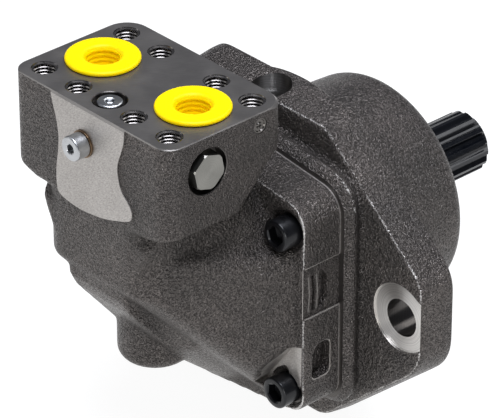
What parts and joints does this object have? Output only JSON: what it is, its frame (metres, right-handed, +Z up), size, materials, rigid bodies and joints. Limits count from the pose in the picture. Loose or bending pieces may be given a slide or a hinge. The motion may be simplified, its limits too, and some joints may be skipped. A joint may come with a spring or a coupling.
{
  "type": "hydraulic wheel motor",
  "caption": "Bent-axis hydraulic piston motor with a two-bolt mounting flange, a long bearing nose, a splined shaft, a top port block with plugged ports and a drain boss.",
  "frame": {"origin": "centre of the flange's front mounting face, on the shaft's axis", "axes": "+Y along the shaft towards its splined end, +Z up out of the port face, +X across the two flange bolt holes"},
  "size_m": [0.26, 0.2933, 0.2261],
  "materials": {
    "cast_iron": "sand-cast and lightly oiled, machined on the sealing faces",
    "dark_steel": "case-hardened and oiled, near black",
    "black_steel": "black oxide",
    "machined_steel": "ground and turned",
    "bearing_steel": "ground and polished",
    "pressed_steel": "pressed sheet",
    "spring_steel": "hardened",
    "stainless_steel": "turned bright",
    "zinc_plate": "bright zinc plate",
    "copper": "soft copper",
    "seal_rubber": "matt nitrile rubber",
    "yellow_plastic": "moulded, glossy"
  },
  "bodies": {
    "motor_body": {"bearing_housing": "cast_iron", "barrel_housing": "cast_iron", "housing_screws": "black_steel", "housing_o_ring": "seal_rubber", "valve_plate": "machined_steel", "valve_plate_pin": "machined_steel", "rear_bearing_cup": "bearing_steel", "front_bearing_cup": "bearing_steel", "seal_carrier": "machined_steel", "carrier_o_ring": "seal_rubber", "shaft_seal": "seal_rubber", "retaining_ring": "spring_steel", "rear_plug": "zinc_plate", "rear_plug_washer": "copper", "port_face_plug": "zinc_plate", "side_hex_plug": "stainless_steel", "expander_plug": "stainless_steel", "flange_drain_plug": "zinc_plate"},
    "shaft_group": {"shaft": "dark_steel", "ball_retainer": "machined_steel", "retainer_screws": "black_steel", "rear_bearing_cone": "bearing_steel", "front_bearing_cone": "bearing_steel", "bearing_spacer": "machined_steel", "lock_nut": "machined_steel"},
    "barrel_group": {"cylinder_barrel": "machined_steel", "centre_pin": "machined_steel", "disc_springs": "spring_steel"},
    "rear_roller_set": {"rear_rollers": "bearing_steel", "rear_cage": "pressed_steel"},
    "front_roller_set": {"front_rollers": "bearing_steel", "front_cage": "pressed_steel"},
    "plug_a_body": {"port_plug_a": "yellow_plastic"},
    "plug_b_body": {"port_plug_b": "yellow_plastic"},
    "ball_1": {"piston_ball_1": "bearing_steel"},
    "piston_body_1": {"piston_1": "machined_steel", "piston_ring_1": "spring_steel"},
    "ball_2": {"piston_ball_2": "bearing_steel"},
    "piston_body_2": {"piston_2": "machined_steel", "piston_ring_2": "spring_steel"},
    "ball_3": {"piston_ball_3": "bearing_steel"},
    "piston_body_3": {"piston_3": "machined_steel", "piston_ring_3": "spring_steel"},
    "ball_4": {"piston_ball_4": "bearing_steel"},
    "piston_body_4": {"piston_4": "machined_steel", "piston_ring_4": "spring_steel"},
    "ball_5": {"piston_ball_5": "bearing_steel"},
    "piston_body_5": {"piston_5": "machined_steel", "piston_ring_5": "spring_steel"},
    "ball_6": {"piston_ball_6": "bearing_steel"},
    "piston_body_6": {"piston_6": "machined_steel", "piston_ring_6": "spring_steel"},
    "ball_7": {"piston_ball_7": "bearing_steel"},
    "piston_body_7": {"piston_7": "machined_steel", "piston_ring_7": "spring_steel"}
  },
  "joints": [
    {"name": "shaft_spin", "type": "hinge", "parent": "motor_body", "child": "shaft_group", "pos_m": [0, 0, 0], "axis": [0, 1, 0], "continuous": true},
    {"name": "barrel_spin", "type": "hinge", "parent": "motor_body", "child": "barrel_group", "pos_m": [0, -0.043, 0], "axis": [0, 0.766, -0.6428], "continuous": true},
    {"name": "rear_cage_spin", "type": "hinge", "parent": "motor_body", "child": "rear_roller_set", "pos_m": [0, -0.018, 0], "axis": [0, 1, 0], "continuous": true},
    {"name": "front_cage_spin", "type": "hinge", "parent": "motor_body", "child": "front_roller_set", "pos_m": [0, 0.039, 0], "axis": [0, 1, 0], "continuous": true},
    {"name": "ball_swivel_1", "type": "hinge", "parent": "shaft_group", "child": "ball_1", "pos_m": [0, -0.043, 0.029], "axis": [0, 1, 0], "continuous": true},
    {"name": "piston_tilt_1", "type": "hinge", "parent": "ball_1", "child": "piston_body_1", "pos_m": [0, -0.043, 0.029], "axis": [0, 0.766, -0.6428], "continuous": true},
    {"name": "ball_swivel_2", "type": "hinge", "parent": "shaft_group", "child": "ball_2", "pos_m": [-0.02267, -0.043, 0.01808], "axis": [0, 1, 0], "continuous": true},
    {"name": "piston_tilt_2", "type": "hinge", "parent": "ball_2", "child": "piston_body_2", "pos_m": [-0.02267, -0.043, 0.01808], "axis": [0, 0.766, -0.6428], "continuous": true},
    {"name": "ball_swivel_3", "type": "hinge", "parent": "shaft_group", "child": "ball_3", "pos_m": [-0.02827, -0.043, -0.00645], "axis": [0, 1, 0], "continuous": true},
    {"name": "piston_tilt_3", "type": "hinge", "parent": "ball_3", "child": "piston_body_3", "pos_m": [-0.02827, -0.043, -0.00645], "axis": [0, 0.766, -0.6428], "continuous": true},
    {"name": "ball_swivel_4", "type": "hinge", "parent": "shaft_group", "child": "ball_4", "pos_m": [-0.01258, -0.043, -0.02613], "axis": [0, 1, 0], "continuous": true},
    {"name": "piston_tilt_4", "type": "hinge", "parent": "ball_4", "child": "piston_body_4", "pos_m": [-0.01258, -0.043, -0.02613], "axis": [0, 0.766, -0.6428], "continuous": true},
    {"name": "ball_swivel_5", "type": "hinge", "parent": "shaft_group", "child": "ball_5", "pos_m": [0.01258, -0.043, -0.02613], "axis": [0, 1, 0], "continuous": true},
    {"name": "piston_tilt_5", "type": "hinge", "parent": "ball_5", "child": "piston_body_5", "pos_m": [0.01258, -0.043, -0.02613], "axis": [0, 0.766, -0.6428], "continuous": true},
    {"name": "ball_swivel_6", "type": "hinge", "parent": "shaft_group", "child": "ball_6", "pos_m": [0.02827, -0.043, -0.00645], "axis": [0, 1, 0], "continuous": true},
    {"name": "piston_tilt_6", "type": "hinge", "parent": "ball_6", "child": "piston_body_6", "pos_m": [0.02827, -0.043, -0.00645], "axis": [0, 0.766, -0.6428], "continuous": true},
    {"name": "ball_swivel_7", "type": "hinge", "parent": "shaft_group", "child": "ball_7", "pos_m": [0.02267, -0.043, 0.01808], "axis": [0, 1, 0], "continuous": true},
    {"name": "piston_tilt_7", "type": "hinge", "parent": "ball_7", "child": "piston_body_7", "pos_m": [0.02267, -0.043, 0.01808], "axis": [0, 0.766, -0.6428], "continuous": true},
    {"name": "plug_a_pull", "type": "slide", "parent": "motor_body", "child": "plug_a_body", "axis": [0, 0, 1], "range_m": [0, 0.03]},
    {"name": "plug_b_pull", "type": "slide", "parent": "motor_body", "child": "plug_b_body", "axis": [0, 0, 1], "range_m": [0, 0.03]}
  ],
  "couplings": [
    {"joint": "barrel_spin", "follows": "shaft_spin", "ratio": 1},
    {"joint": "rear_cage_spin", "follows": "shaft_spin", "ratio": 0.43485},
    {"joint": "front_cage_spin", "follows": "shaft_spin", "ratio": 0.42898},
    {"joint": "ball_swivel_1", "follows": "shaft_spin", "ratio": -1},
    {"joint": "piston_tilt_1", "follows": "shaft_spin", "ratio": -1},
    {"joint": "ball_swivel_2", "follows": "shaft_spin", "ratio": -1},
    {"joint": "piston_tilt_2", "follows": "shaft_spin", "ratio": -1},
    {"joint": "ball_swivel_3", "follows": "shaft_spin", "ratio": -1},
    {"joint": "piston_tilt_3", "follows": "shaft_spin", "ratio": -1},
    {"joint": "ball_swivel_4", "follows": "shaft_spin", "ratio": -1},
    {"joint": "piston_tilt_4", "follows": "shaft_spin", "ratio": -1},
    {"joint": "ball_swivel_5", "follows": "shaft_spin", "ratio": -1},
    {"joint": "piston_tilt_5", "follows": "shaft_spin", "ratio": -1},
    {"joint": "ball_swivel_6", "follows": "shaft_spin", "ratio": -1},
    {"joint": "piston_tilt_6", "follows": "shaft_spin", "ratio": -1},
    {"joint": "ball_swivel_7", "follows": "shaft_spin", "ratio": -1},
    {"joint": "piston_tilt_7", "follows": "shaft_spin", "ratio": -1}
  ]
}
